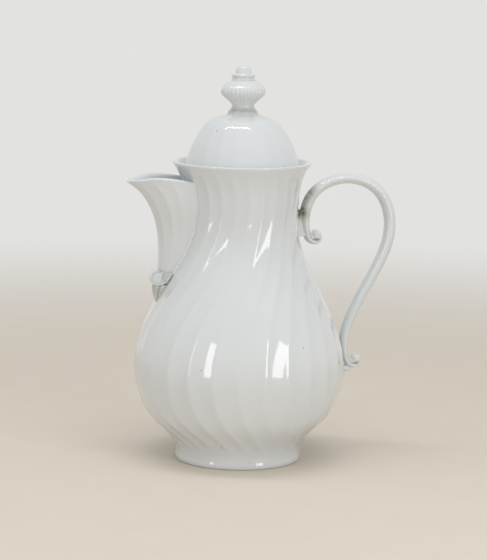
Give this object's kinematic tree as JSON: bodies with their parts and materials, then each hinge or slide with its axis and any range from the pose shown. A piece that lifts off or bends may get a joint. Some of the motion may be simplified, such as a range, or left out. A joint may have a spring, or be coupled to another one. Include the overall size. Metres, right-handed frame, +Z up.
{
  "type": "coffee pot",
  "caption": "Pear-shaped porcelain coffee pot with swirled flutes, a beak spout, an S-scroll handle and a loose domed lid with a ribbed knob.",
  "frame": {"origin": "centre of the foot ring's standing face, on the pot's axis", "axes": "+Z up along the pot's axis, -X towards the spout, +X towards the handle"},
  "size_m": [0.1753, 0.1334, 0.25],
  "materials": {
    "porcelain": "glossy clear glaze on white porcelain"
  },
  "bodies": {
    "pot": {"body_shell": "porcelain", "body_rim": "porcelain", "foot_ring": "porcelain", "spout": "porcelain", "spout_scroll": "porcelain", "spout_leaf": "porcelain", "handle": "porcelain", "handle_upper_lug": "porcelain", "handle_lower_drop": "porcelain"},
    "lid": {"lid_dome": "porcelain", "lid_collar": "porcelain", "knob_foot": "porcelain", "knob": "porcelain", "knob_cap": "porcelain"}
  },
  "joints": [
    {"name": "lid_lift", "type": "slide", "parent": "pot", "child": "lid", "axis": [0, 0, 1], "range_m": [0, 0.08]}
  ]
}
